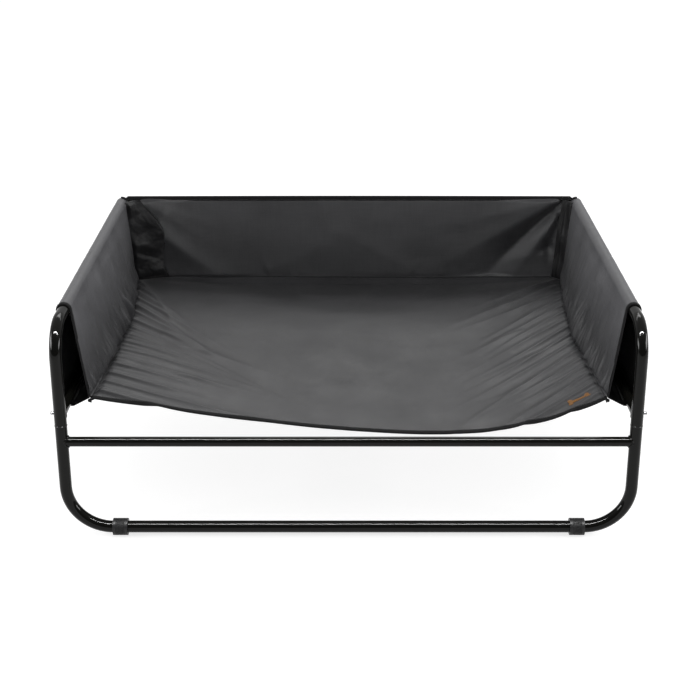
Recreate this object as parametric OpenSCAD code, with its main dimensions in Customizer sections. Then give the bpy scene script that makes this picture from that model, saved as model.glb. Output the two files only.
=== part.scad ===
// Raised sling bed for a dog, on a knock-down frame of bent steel tube.
// Millimetres. The origin is on the floor under the middle of the frame.
// +X is to the right as seen from the open front, +Y is towards the back panel, +Z is up.

/* [Frame size] */
// Width across the outer faces of the posts
frame_width = 1050; // [900:1200]
// Distance between the centres of the front and the rear posts
post_spacing = 860; // [700:1000]
// Height of the centre of the top rails
top_rail_height = 402; // [340:440]
// Height of the joint between the floor loops and the side hoops
joint_height = 219; // [190:240]
// Height of the centre of the middle rails
mid_rail_height = 187; // [150:200]
// Height of the centre of the side bars
side_bar_height = 236; // [225:260]

/* [Tubes] */
// Outer diameter of the main tube
tube_diameter = 22; // [19:25]
// Wall thickness of the main tube
tube_wall = 1.5; // [1.2:0.1:2]
// Outer diameter of the middle rails and side bars
bar_diameter = 18; // [16:20]
// Wall thickness of the middle rails and side bars
bar_wall = 1.2; // [1:0.1:1.6]
// Centreline radius of the bends at the floor
floor_bend_radius = 82; // [60:110]
// Centreline radius of the bends at the top rails
top_bend_radius = 60; // [45:80]
// Length of the reduced tube end that goes up into a hoop leg
spigot_length = 55; // [40:70]

/* [Foot sleeves] */
// Length of a foot sleeve along the tube
sleeve_length = 27; // [20:40]
// Outer radius of a foot sleeve
sleeve_radius = 15.8; // [15.4:0.1:17]
// Height of the tube centre above the floor
floor_tube_height = 15; // [14:16]

/* [Snap buttons] */
// Height of a button above the joint
button_rise = 24; // [18:30]
// Radius of the button's pin
button_radius = 2.9; // [2.4:0.1:3.4]
// How far a button stands out of the tube
button_out = 6; // [4:8]
// Width of the leaf spring behind a button
spring_width = 6; // [5:8]
// Thickness of the leaf spring's steel
spring_thickness = 0.6; // [0.4:0.1:0.8]

/* [Sling] */
// Thickness given to the cloth
cloth = 2.2; // [1.6:0.1:3]
// Front edge of the cloth, measured from the middle of the bed
cloth_front = -350; // [-360:-330]
// Rear edge of the side walls and the base
cloth_rear = 377; // [360:390]
// Half width between the base seams at the front
seam_front_x = 475; // [460:485]
// Half width between the base seams at the rear
seam_rear_x = 493; // [480:498]
// How far the base seams bow inwards between their ends
seam_bow = 14; // [0:20]
// Height of the base seams at the front
seam_front_z = 239; // [230:245]
// Height of the base seams at the rear
seam_rear_z = 226; // [224:240]
// How far the front edge of the base hangs below its corners
front_sag = 72; // [0:80]
// Where along the front edge the base hangs lowest, as a share of the half width
sag_place = 0.3; // [-0.4:0.1:0.4]
// Height of the top edge of the back panel
back_top = 417; // [405:425]
// How far back the front edges of the side walls lean at the top rails
front_lean = 18; // [0:30]

/* [Hidden] */

$fn = 64;
tube_r = tube_diameter / 2;
bore_r = tube_r - tube_wall;
bar_r = bar_diameter / 2;
bar_bore_r = bar_r - bar_wall;
spigot_r = bore_r - 0.2;
spigot_bore_r = spigot_r - 1.4;
post_x = frame_width / 2 - tube_r;
post_y = post_spacing / 2;
loop_flat = post_x - floor_bend_radius;
loop_post_base = floor_tube_height + floor_bend_radius;
hoop_leg_top = top_rail_height - top_bend_radius;
hoop_flat = post_y - top_bend_radius;
hoop_leg_base = joint_height + 0.3;
button_height = joint_height + button_rise;
wrap_r = tube_r + 0.3 + cloth / 2;
bar_wrap_r = bar_r + 0.3 + cloth / 2;
half = cloth / 2;
slide_gap = 0.1;
bored = 0.02;

steel_black = [0.03, 0.03, 0.035];
plastic_black = [0.05, 0.05, 0.05];
zinc = [0.7, 0.7, 0.72];
charcoal = [0.09, 0.09, 0.095];
tape_black = [0.02, 0.02, 0.02];

// ---- tube pieces ----

// A straight ring-section tube standing on z = 0
module tube(outer, inner, length) {
  difference() {
    cylinder(r = outer, h = length);
    translate([0, 0, -1])
      cylinder(r = inner, h = length + 2);
  }
}

// A quarter bend that starts at [bend, 0, 0] going up and ends going towards -X
module quarter_bend(outer, inner, bend) {
  rotate([90, 0, 0])
    rotate_extrude(angle = 90)
      translate([bend, 0])
        difference() {
          circle(r = outer);
          circle(r = inner);
        }
}

// ---- floor loops ----

// Half of a floor loop, for x > 0, with its reduced upper end and its button hole
module half_floor_loop() {
  difference() {
    union() {
      translate([0, 0, floor_tube_height])
        rotate([0, 90, 0])
          tube(tube_r, bore_r, loop_flat);
      translate([loop_flat, 0, loop_post_base])
        rotate([0, 90, 0])
          quarter_bend(tube_r, bore_r, floor_bend_radius);
      translate([post_x, 0, loop_post_base])
        tube(tube_r, bore_r, joint_height - 7 - loop_post_base);
      translate([post_x, 0, joint_height - 7])
        tube(tube_r, spigot_bore_r, 7);
      translate([post_x, 0, joint_height])
        tube(spigot_r, spigot_bore_r, spigot_length);
    }
    translate([post_x, 0, button_height])
      rotate([0, 90, 0])
        cylinder(r = button_radius + slide_gap, h = tube_r + 5);
  }
}

module floor_loop() {
  color(steel_black)
    union() {
      half_floor_loop();
      mirror([1, 0, 0])
        half_floor_loop();
    }
}

module front_floor_loop() {
  translate([0, -post_y, 0])
    floor_loop();
}

module rear_floor_loop() {
  translate([0, post_y, 0])
    floor_loop();
}

// ---- middle rails ----

// A rail between two posts, with its ends shaped to the posts
module mid_rail() {
  reach = post_x - 2;
  color(steel_black)
    difference() {
      translate([-reach, 0, mid_rail_height])
        rotate([0, 90, 0])
          tube(bar_r, bar_bore_r, 2 * reach);
      for (side = [-1, 1])
        translate([side * post_x, 0, mid_rail_height - 30])
          cylinder(r = tube_r + bored, h = 60);
    }
}

module front_mid_rail() {
  translate([0, -post_y, 0])
    mid_rail();
}

module rear_mid_rail() {
  translate([0, post_y, 0])
    mid_rail();
}

// ---- side hoops ----

// Front half of the right hoop: leg, top bend and half of the top rail
module half_hoop() {
  difference() {
    union() {
      translate([post_x, -post_y, hoop_leg_base])
        tube(tube_r, bore_r, hoop_leg_top - hoop_leg_base);
      translate([post_x, -hoop_flat, hoop_leg_top])
        rotate([0, 0, -90])
          quarter_bend(tube_r, bore_r, top_bend_radius);
      translate([post_x, 0, top_rail_height])
        rotate([90, 0, 0])
          tube(tube_r, bore_r, hoop_flat);
    }
    translate([post_x, -post_y, button_height])
      rotate([0, 90, 0])
        cylinder(r = button_radius + slide_gap, h = tube_r + 5);
  }
}

module side_hoop() {
  color(steel_black)
    union() {
      half_hoop();
      mirror([0, 1, 0])
        half_hoop();
    }
}

module right_side_hoop() {
  side_hoop();
}

module left_side_hoop() {
  mirror([1, 0, 0])
    side_hoop();
}

// ---- side bars ----

// A bar between the two legs of a hoop, with its ends shaped to the legs
module side_bar() {
  reach = post_y - 2;
  color(steel_black)
    difference() {
      translate([post_x, reach, side_bar_height])
        rotate([90, 0, 0])
          tube(bar_r, bar_bore_r, 2 * reach);
      for (side = [-1, 1])
        translate([post_x, side * post_y, side_bar_height - 30])
          cylinder(r = tube_r + bored, h = 60);
    }
}

module right_side_bar() {
  side_bar();
}

module left_side_bar() {
  mirror([1, 0, 0])
    side_bar();
}

// ---- foot sleeves ----

// A ribbed sleeve round the tube, cut flat where it stands on the floor
module foot_sleeve() {
  groove = 0.6;
  pitch = 2.4;
  color(plastic_black)
    translate([loop_flat - sleeve_length, -post_y, floor_tube_height])
      difference() {
        rotate([0, 90, 0])
          difference() {
            cylinder(r = sleeve_radius, h = sleeve_length);
            translate([0, 0, -1])
              cylinder(r = tube_r + bored, h = sleeve_length + 2);
            for (i = [0 : 6])
              translate([0, 0, 5.7 + i * pitch])
                difference() {
                  cylinder(r = sleeve_radius + 1, h = 1.2);
                  translate([0, 0, -1])
                    cylinder(r = sleeve_radius - groove, h = 3.2);
                }
          }
        translate([-1, -30, -30 - floor_tube_height])
          cube([sleeve_length + 2, 60, 30]);
      }
}

module front_right_foot_sleeve() {
  foot_sleeve();
}

module front_left_foot_sleeve() {
  mirror([1, 0, 0])
    foot_sleeve();
}

module rear_right_foot_sleeve() {
  mirror([0, 1, 0])
    foot_sleeve();
}

module rear_left_foot_sleeve() {
  mirror([1, 0, 0])
    mirror([0, 1, 0])
      foot_sleeve();
}

// ---- snap buttons ----

// A pin with a rounded end outside the tube and a flat flange inside it
module snap_button() {
  flange_r = 4.5;
  flange_x = 5.2;
  dome = 1.4;
  tip = tube_r + button_out;
  color(zinc)
    translate([post_x, -post_y, button_height])
      rotate([0, 90, 0])
        rotate_extrude()
          polygon([
            [0, flange_x],
            [flange_r, flange_x],
            [flange_r, flange_x + 1.1],
            [button_radius, flange_x + 1.1],
            [button_radius, tip - dome],
            [button_radius - 0.35, tip - dome * 0.45],
            [button_radius - 1.2, tip - dome * 0.1],
            [button_radius - 1.8, tip],
            [0, tip]
          ]);
}

module front_right_button() {
  snap_button();
}

module front_left_button() {
  mirror([1, 0, 0])
    snap_button();
}

module rear_right_button() {
  mirror([0, 1, 0])
    snap_button();
}

module rear_left_button() {
  mirror([1, 0, 0])
    mirror([0, 1, 0])
      snap_button();
}

// A V of flat spring steel inside the reduced tube end, behind the button's flange
module snap_spring() {
  t = spring_thickness;
  inner_x = -7;
  outer_x = 5;
  apex_x = -1;
  rise = 7;
  drop = 19;
  color(zinc)
    translate([post_x, -post_y + spring_width / 2, button_height])
      rotate([90, 0, 0])
        linear_extrude(height = spring_width)
          polygon([
            [inner_x, rise],
            [inner_x, rise - 3],
            [apex_x - 1.2, -drop],
            [apex_x + 1.2, -drop],
            [outer_x, -5],
            [outer_x, rise],
            [outer_x - t, rise],
            [outer_x - t, -5],
            [apex_x + 0.7, -drop + 1.2],
            [apex_x - 0.7, -drop + 1.2],
            [inner_x + t, rise - 3],
            [inner_x + t, rise]
          ]);
}

module front_right_spring() {
  snap_spring();
}

module front_left_spring() {
  mirror([1, 0, 0])
    snap_spring();
}

module rear_right_spring() {
  mirror([0, 1, 0])
    snap_spring();
}

module rear_left_spring() {
  mirror([1, 0, 0])
    mirror([0, 1, 0])
      snap_spring();
}

// ---- cloth surfaces ----

function mix(a, b, t) = a + (b - a) * t;
function along(y) = (y - cloth_front) / (cloth_rear - cloth_front);
function bow(y) = seam_bow * 4 * along(y) * (1 - along(y));
function seam_x(y) = mix(seam_front_x, seam_rear_x, along(y)) - bow(y);
function seam_z(y) = mix(seam_front_z, seam_rear_z, along(y));

// Share of the full sag at a point u across the base, from -1 to 1
function hang(u) =
  u < sag_place
    ? 1 - pow((sag_place - u) / (1 + sag_place), 1.5)
    : 1 - pow((u - sag_place) / (1 - sag_place), 2.6);
function fade(y) = pow(max(0, 1 - along(y)), 1.4);
function base_z(u, y) = seam_z(y) - front_sag * fade(y) * hang(u);

// Unit normal of a grid of points at row i and column j
function grid_normal(g, i, j) =
  let (
    m = len(g) - 1,
    n = len(g[0]) - 1,
    a = g[min(i + 1, m)][j] - g[max(i - 1, 0)][j],
    b = g[i][min(j + 1, n)] - g[i][max(j - 1, 0)],
    c = cross(a, b)
  )
  c / norm(c);

// A closed sheet of even thickness round a grid of points
module sheet(g, t) {
  m = len(g);
  n = len(g[0]);
  function at(i, j, k) = (k * m + i) * n + j;
  upper = [for (i = [0 : m - 1]) for (j = [0 : n - 1]) g[i][j] + grid_normal(g, i, j) * t / 2];
  lower = [for (i = [0 : m - 1]) for (j = [0 : n - 1]) g[i][j] - grid_normal(g, i, j) * t / 2];
  top = [
    for (i = [0 : m - 2])
      for (j = [0 : n - 2])
        each [
          [at(i, j, 0), at(i, j + 1, 0), at(i + 1, j + 1, 0)],
          [at(i, j, 0), at(i + 1, j + 1, 0), at(i + 1, j, 0)],
          [at(i, j, 1), at(i + 1, j + 1, 1), at(i, j + 1, 1)],
          [at(i, j, 1), at(i + 1, j, 1), at(i + 1, j + 1, 1)]
        ]
  ];
  row_ends = [
    for (j = [0 : n - 2])
      each [
        [at(0, j, 0), at(0, j, 1), at(0, j + 1, 1)],
        [at(0, j, 0), at(0, j + 1, 1), at(0, j + 1, 0)],
        [at(m - 1, j, 0), at(m - 1, j + 1, 1), at(m - 1, j, 1)],
        [at(m - 1, j, 0), at(m - 1, j + 1, 0), at(m - 1, j + 1, 1)]
      ]
  ];
  column_ends = [
    for (i = [0 : m - 2])
      each [
        [at(i, 0, 0), at(i + 1, 0, 1), at(i, 0, 1)],
        [at(i, 0, 0), at(i + 1, 0, 0), at(i + 1, 0, 1)],
        [at(i, n - 1, 0), at(i, n - 1, 1), at(i + 1, n - 1, 1)],
        [at(i, n - 1, 0), at(i + 1, n - 1, 1), at(i + 1, n - 1, 0)]
      ]
  ];
  polyhedron(points = concat(upper, lower), faces = concat(top, row_ends, column_ends), convexity = 6);
}

// Moves a point of a side wall back, most at the top of its front edge
function lean_back(p) =
  let (rise = max(0, (p[2] - seam_front_z) / (top_rail_height - seam_front_z)))
  [p[0], p[1] + front_lean * min(1, rise) * (1 - along(p[1])), p[2]];

// Angle on the top rail where the inner wall meets it
function meet_angle(y) =
  let (
    dx = seam_x(y) - post_x,
    dz = seam_z(y) + 1.8 - top_rail_height
  )
  360 + atan2(dz, dx) - acos(wrap_r / norm([dx, dz]));
function on_rail(y, a, r) = [post_x + r * cos(a), y, top_rail_height + r * sin(a)];

// Path of the inner wall at a place y: up from the base seam and over the top rail
function inner_path(y, lift = 0) =
  let (
    foot = [seam_x(y), y, seam_z(y) + 1.8],
    meet = meet_angle(y),
    edge = on_rail(y, meet, wrap_r + lift)
  )
  concat(
    [for (k = [0 : 4]) mix(foot, edge, k / 5)],
    [for (k = [0 : 12]) on_rail(y, mix(meet, 6, k / 12), wrap_r + lift)]
  );

// Path of the outer wall at a place y: down from the top rail and round the side bar
function on_bar(y, a, r) = [post_x + r * cos(a), y, side_bar_height + r * sin(a)];
function outer_path(y, lift = 0) =
  let (
    head = [post_x + wrap_r + lift, y, top_rail_height - 1],
    edge = on_bar(y, 0, bar_wrap_r + lift)
  )
  concat(
    [for (k = [0 : 4]) mix(head, edge, k / 5)],
    [for (k = [0 : 8]) on_bar(y, -95 * k / 8, bar_wrap_r + lift)]
  );

// Grids of the side walls, from the front edge to the rear
function inner_grid() = [for (y = stations(8)) [for (p = inner_path(y)) lean_back(p)]];
function outer_grid() = [for (y = stations(8)) [for (p = outer_path(y)) lean_back(p)]];

// Path of the strip under the side bar, from the base seam outwards
function under_path(y) =
  [
    [seam_x(y) + 1.4, y, seam_z(y) - 1.6],
    [post_x - 8, y, side_bar_height - 14.4],
    [post_x + 8, y, side_bar_height - 14.4]
  ];

function stations(count) = [for (k = [0 : count]) mix(cloth_front, cloth_rear, k / count)];

module base_panel() {
  across = 28;
  color(charcoal)
    sheet(
      [
        for (y = stations(16))
          [for (k = [0 : across]) [
            (2 * k / across - 1) * (seam_x(y) - 0.3),
            y,
            base_z(2 * k / across - 1, y)
          ]]
      ],
      cloth
    );
}

module inner_wall() {
  color(charcoal)
    sheet(inner_grid(), cloth);
}

module right_inner_wall() {
  inner_wall();
}

module left_inner_wall() {
  mirror([1, 0, 0])
    inner_wall();
}

module outer_wall() {
  color(charcoal)
    sheet(outer_grid(), cloth);
}

module right_outer_wall() {
  outer_wall();
}

module left_outer_wall() {
  mirror([1, 0, 0])
    outer_wall();
}

module under_strip() {
  color(charcoal)
    sheet([for (y = stations(8)) under_path(y)], 2);
}

module right_under_strip() {
  under_strip();
}

module left_under_strip() {
  mirror([1, 0, 0])
    under_strip();
}

// A band of hook tape between the under strip and the outer wall's end
module hook_strip() {
  color(tape_black)
    translate([post_x - 7, cloth_front + 15, side_bar_height - 13.1])
      cube([14, cloth_rear - cloth_front - 30, 1.2]);
}

module right_hook_strip() {
  hook_strip();
}

module left_hook_strip() {
  mirror([1, 0, 0])
    hook_strip();
}

// The flat cloth across the back, a little wider at its top than at its foot
module back_panel() {
  foot = seam_rear_z - 3;
  color(charcoal)
    translate([0, cloth_rear + 0.9 + cloth, 0])
      rotate([90, 0, 0])
        linear_extrude(height = cloth)
          polygon([
            [-seam_rear_x + 1, foot],
            [seam_rear_x - 1, foot],
            [post_x - tube_r - 4, back_top],
            [-post_x + tube_r + 4, back_top]
          ]);
}

// A strip of cloth that closes a rear corner at a slant
module corner_gusset() {
  foot_z = seam_rear_z + 3.4;
  head_z = back_top - 12;
  wall_y = cloth_rear - 27;
  color(charcoal)
    sheet(
      [
        for (k = [0 : 4])
          let (
            z = mix(foot_z, head_z, k / 4),
            wall_x = mix(seam_rear_x - 6.5, post_x - wrap_r - 3.4, k / 4),
            back_x = mix(seam_rear_x - 78, seam_rear_x - 20, pow(k / 4, 0.6))
          )
          [
            [wall_x, wall_y, z],
            [mix(wall_x, back_x, 0.5), mix(wall_y, cloth_rear - 1.2, 0.62), z],
            [back_x, cloth_rear - 1.2, z]
          ]
      ],
      1.6
    );
}

module right_corner_gusset() {
  corner_gusset();
}

module left_corner_gusset() {
  mirror([1, 0, 0])
    corner_gusset();
}

// ---- edge tapes ----

// A folded tape over the top edge of the back panel
module back_binding() {
  reach = post_x - tube_r - 4.5;
  lip = 8;
  color(tape_black)
    translate([-reach, cloth_rear + 0.9 - 1.1, back_top - lip])
      difference() {
        cube([2 * reach, cloth + 2.2, lip + 2]);
        translate([-1, 0.9, -1])
          cube([2 * reach + 2, cloth + 0.4, lip + 1.3]);
      }
}

// The tape along the front edge of the base
module front_binding() {
  across = 40;
  color(tape_black)
    sheet(
      [
        for (y = [cloth_front - 4.4, cloth_front - 0.4])
          [for (k = [0 : across]) [
            (2 * k / across - 1) * (seam_front_x - 3),
            y,
            base_z(2 * k / across - 1, cloth_front)
          ]]
      ],
      3.4
    );
}

// The tape along the front edge of a side wall, over the top rail
module wall_binding() {
  color(tape_black)
    sheet(
      [
        for (y = [cloth_front - 4.4, cloth_front - 0.4])
          [for (p = concat(inner_path(y, 0.6), outer_path(y, 0.6))) lean_back(p)]
      ],
      3
    );
}

module right_wall_binding() {
  wall_binding();
}

module left_wall_binding() {
  mirror([1, 0, 0])
    wall_binding();
}

front_floor_loop();
rear_floor_loop();
front_mid_rail();
rear_mid_rail();
left_side_hoop();
right_side_hoop();
left_side_bar();
right_side_bar();
front_left_foot_sleeve();
front_right_foot_sleeve();
rear_left_foot_sleeve();
rear_right_foot_sleeve();
front_left_button();
front_right_button();
rear_left_button();
rear_right_button();
front_left_spring();
front_right_spring();
rear_left_spring();
rear_right_spring();
base_panel();
left_inner_wall();
right_inner_wall();
left_outer_wall();
right_outer_wall();
left_under_strip();
right_under_strip();
left_hook_strip();
right_hook_strip();
back_panel();
left_corner_gusset();
right_corner_gusset();
back_binding();
front_binding();
left_wall_binding();
right_wall_binding();
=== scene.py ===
"""Looks of the raised dog bed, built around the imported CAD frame. Metres, the CAD's own frame."""
import math

import bpy
import numpy as np
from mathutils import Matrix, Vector


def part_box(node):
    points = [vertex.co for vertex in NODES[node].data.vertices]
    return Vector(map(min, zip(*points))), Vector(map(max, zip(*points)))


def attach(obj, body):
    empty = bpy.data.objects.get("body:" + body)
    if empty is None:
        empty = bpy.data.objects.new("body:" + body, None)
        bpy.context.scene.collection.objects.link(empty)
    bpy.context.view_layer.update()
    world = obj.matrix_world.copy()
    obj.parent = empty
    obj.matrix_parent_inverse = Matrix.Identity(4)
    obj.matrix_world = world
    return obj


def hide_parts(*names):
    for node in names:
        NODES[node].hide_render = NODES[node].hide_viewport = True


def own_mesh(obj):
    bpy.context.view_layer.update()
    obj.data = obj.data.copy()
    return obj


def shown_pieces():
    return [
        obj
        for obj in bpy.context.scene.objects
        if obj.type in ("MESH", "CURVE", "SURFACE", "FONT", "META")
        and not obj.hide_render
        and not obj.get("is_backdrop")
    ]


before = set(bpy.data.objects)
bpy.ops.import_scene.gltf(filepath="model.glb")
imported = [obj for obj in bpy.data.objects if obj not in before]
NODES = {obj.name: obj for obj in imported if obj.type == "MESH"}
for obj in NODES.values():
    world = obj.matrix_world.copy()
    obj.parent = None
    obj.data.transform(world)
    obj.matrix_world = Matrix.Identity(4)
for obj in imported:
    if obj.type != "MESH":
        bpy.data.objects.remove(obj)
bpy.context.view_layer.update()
rng = np.random.default_rng(7)

# ---------------- sizes, as in part.scad
POST_X, POST_Y = 0.514, 0.430
RAIL_Z, RAIL_R = 0.402, 0.011
BAR_Z, BAR_R = 0.236, 0.009
MID_Z = 0.187
FRONT, REAR = -0.350, 0.377
SEAM_FRONT_X, SEAM_REAR_X = 0.475, 0.493
SEAM_FRONT_Z, SEAM_REAR_Z = 0.239, 0.226
SEAM_BOW, SAG, SAG_PLACE = 0.014, 0.072, 0.3
LEAN = 0.018
BACK_TOP, BACK_Y = 0.417, 0.379
CLOTH = 0.0012
WRAP_R = RAIL_R + 0.0003 + CLOTH / 2 + 0.0004
BAR_WRAP_R = BAR_R + 0.0003 + CLOTH / 2 + 0.0004
# How high the foot of the side walls is above the base seam
FOOT_LIFT = 0.0012
# How far a tape's fold stands outside the edge of its cloth
TAPE_PROUD = 0.0018

SIDES = ((-1, "left"), (1, "right"))
CORNERS = [(sx, sy, f"{row}_{tag}") for sy, row in ((-1, "front"), (1, "rear")) for sx, tag in SIDES]


def mix(a, b, t):
    return a + (b - a) * t


def smooth(t):
    t = np.clip(t, 0.0, 1.0)
    return t * t * (3 - 2 * t)


def along(y):
    return (y - FRONT) / (REAR - FRONT)


def seam_x(y):
    t = along(y)
    return mix(SEAM_FRONT_X, SEAM_REAR_X, t) - SEAM_BOW * 4 * t * (1 - t)


def seam_z(y):
    return mix(SEAM_FRONT_Z, SEAM_REAR_Z, along(y))


def hang(u):
    left = 1 - np.abs((SAG_PLACE - u) / (1 + SAG_PLACE)) ** 1.5
    right = 1 - np.abs((u - SAG_PLACE) / (1 - SAG_PLACE)) ** 2.6
    return np.where(u < SAG_PLACE, left, right)


def fade(y):
    return np.maximum(0.0, 1 - along(y)) ** 1.4


def base_z(u, y):
    return seam_z(y) - SAG * fade(y) * hang(u)


# ---------------- smooth noise in numpy
def value_noise(x, y, seed):
    """Smooth value noise from -1 to 1 on a unit lattice."""
    xi, yi = np.floor(x).astype(np.int64), np.floor(y).astype(np.int64)
    xf, yf = smooth(x - xi), smooth(y - yi)

    def lattice(i, j):
        h = (i * 374761393 + j * 668265263 + seed * 1442695041) & 0x7FFFFFFF
        h = ((h ^ (h >> 13)) * 1274126177) & 0x7FFFFFFF
        h = h ^ (h >> 16)
        return (h & 0xFFFFF) / 524287.5 - 1.0

    a, b = lattice(xi, yi), lattice(xi + 1, yi)
    c, d = lattice(xi, yi + 1), lattice(xi + 1, yi + 1)
    return mix(mix(a, b, xf), mix(c, d, xf), yf)


def fractal(x, y, seed, octaves=3):
    total, size = 0.0, 1.0
    for k in range(octaves):
        total = total + size * value_noise(x * 2**k, y * 2**k, seed + 17 * k)
        size *= 0.5
    return total / 1.75


# ---------------- folds
def fold(X, Y, x0, y0, angle, length, width, height, bend=0.0, flare=1.3, tip=0.0009, start=0.014):
    """A pulled fold: a narrow crest that starts at (x0, y0), runs along angle, widens and dies out."""
    c, s = math.cos(angle), math.sin(angle)
    a = (X - x0) * c + (Y - y0) * s
    d = -(X - x0) * s + (Y - y0) * c + bend * a * a
    t = np.clip(a / length, 0.0, 1.0)
    w = width * (1 + flare * t)
    e = tip * (1 + flare * t)
    rise = smooth(a / start) * (1 - smooth(t)) ** 0.9
    crest = np.exp(-(np.sqrt(d * d + e * e) - e) / w)
    return height * rise * crest


# ---------------- meshes
def make_mesh(name, verts, faces, uvs=None, mats=()):
    """verts (n, 3), faces (m, 3 or 4) or a list, uvs (n, 2) per vertex."""
    mesh = bpy.data.meshes.new(name)
    mesh.from_pydata([tuple(v) for v in verts], [], [tuple(int(i) for i in f) for f in faces])
    if uvs is not None:
        layer = mesh.uv_layers.new(name="UVMap")
        index = np.zeros(len(mesh.loops), np.int32)
        mesh.loops.foreach_get("vertex_index", index)
        layer.data.foreach_set("uv", np.asarray(uvs, np.float32)[index].ravel())
    mesh.validate()
    for m in mats:
        mesh.materials.append(m)
    mesh.polygons.foreach_set("use_smooth", [True] * len(mesh.polygons))
    mesh.update()
    obj = bpy.data.objects.new(name, mesh)
    bpy.context.scene.collection.objects.link(obj)
    return obj


def grid_faces(m, n, wrap_rows=False, wrap_cols=False):
    rows = m if wrap_rows else m - 1
    cols = n if wrap_cols else n - 1
    i, j = np.meshgrid(np.arange(rows), np.arange(cols), indexing="ij")
    i2, j2 = (i + 1) % m, (j + 1) % n
    return np.stack([i * n + j, i2 * n + j, i2 * n + j2, i * n + j2], -1).reshape(-1, 4)


def length_along(P, axis=0):
    """Distance of each point of P from the first one, measured along the given axis of the grid."""
    steps = np.linalg.norm(np.diff(P, axis=axis), axis=-1)
    start = np.zeros_like(np.take(steps, [0], axis))
    return np.concatenate([start, np.cumsum(steps, axis)], axis)


def sheet_object(name, P, mats, thick=CLOTH, flip=False, inner_mat=False):
    """A cloth sheet from a grid of points P (m, n, 3), with UVs in metres of cloth and a real thickness."""
    m, n = P.shape[:2]
    du = np.linalg.norm(np.diff(P, axis=0), axis=2).mean(1)
    dv = np.linalg.norm(np.diff(P, axis=1), axis=2).mean(0)
    U = np.concatenate([[0], np.cumsum(du)])
    V = np.concatenate([[0], np.cumsum(dv)])
    uv = np.stack(np.meshgrid(U, V, indexing="ij"), -1).reshape(-1, 2)
    faces = grid_faces(m, n)
    if flip:
        faces = faces[:, ::-1]
    obj = make_mesh(name, P.reshape(-1, 3), faces, uv, mats)
    mod = obj.modifiers.new("thickness", "SOLIDIFY")
    mod.thickness = thick
    mod.offset = 0.0
    mod.use_rim = True
    if inner_mat:
        mod.material_offset = 1
        mod.material_offset_rim = 1
    return obj


def swept(name, path, radius, mats, sides=10, closed=False, up=(0, 0, 1)):
    """A tube along path (n, 3). radius is a number or one per point."""
    path = np.asarray(path, float)
    n = len(path)
    r = np.broadcast_to(np.asarray(radius, float), (n,))
    if closed:
        tang = np.roll(path, -1, 0) - np.roll(path, 1, 0)
    else:
        tang = np.gradient(path, axis=0)
    tang /= np.linalg.norm(tang, axis=1)[:, None]
    side = np.cross(tang, np.broadcast_to(np.asarray(up, float), tang.shape))
    side /= np.maximum(np.linalg.norm(side, axis=1), 1e-9)[:, None]
    lift = np.cross(side, tang)
    a = np.arange(sides) * 2 * math.pi / sides
    ring = (
        path[:, None]
        + side[:, None] * np.cos(a)[None, :, None] * r[:, None, None]
        + lift[:, None] * np.sin(a)[None, :, None] * r[:, None, None]
    )
    faces = [tuple(f) for f in grid_faces(n, sides, wrap_rows=closed, wrap_cols=True)]
    if not closed:
        faces += [tuple(range(sides)), tuple(reversed(range((n - 1) * sides, n * sides)))]
    uv = np.stack(np.meshgrid(length_along(path), a * r.mean(), indexing="ij"), -1).reshape(-1, 2)
    return make_mesh(name, ring.reshape(-1, 3), faces, uv, mats)


def tube_faces(start, rings, sides):
    """Faces of an open tube whose points begin at index start."""
    return [tuple(start + f) for f in grid_faces(rings, sides, wrap_cols=True)[:, [0, 3, 2, 1]]]


def stitch_object(name, lines, mats, pitch=0.0042, stitch=0.0030, radius=0.00034):
    """Rows of raised stitches. lines is a list of (path, normals): points on the cloth and its normals."""
    verts, faces = [], []
    sides = 5
    # the rings of one stitch: place along it, thickness, and height above the cloth in radii
    ts = np.array([0.0, 0.12, 0.5, 0.88, 1.0])
    rr = np.array([0.45, 0.9, 1.0, 0.9, 0.45])
    hh = np.array([-0.9, 0.15, 0.75, 0.15, -0.9])
    for path, normals in lines:
        path, normals = np.asarray(path, float), np.asarray(normals, float)
        s = length_along(path)
        for k in range(int(s[-1] / pitch)):
            q = k * pitch + 0.0006 + ts * stitch
            if q[-1] > s[-1]:
                continue
            p = np.stack([np.interp(q, s, path[:, a]) for a in range(3)], 1)
            nn = np.array([np.interp(q[2], s, normals[:, a]) for a in range(3)])
            nn /= np.linalg.norm(nn)
            tt = p[-1] - p[0]
            tt /= np.linalg.norm(tt)
            bb = np.cross(tt, nn)
            base = len(verts)
            for i in range(len(ts)):
                for a in range(sides):
                    ang = 2 * math.pi * a / sides
                    verts.append(
                        p[i] + nn * (hh[i] * radius + math.sin(ang) * radius * rr[i])
                        + bb * (math.cos(ang) * radius * 1.15 * rr[i])
                    )
            faces += tube_faces(base, len(ts), sides)
    return make_mesh(name, np.array(verts), faces, None, mats)


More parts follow.
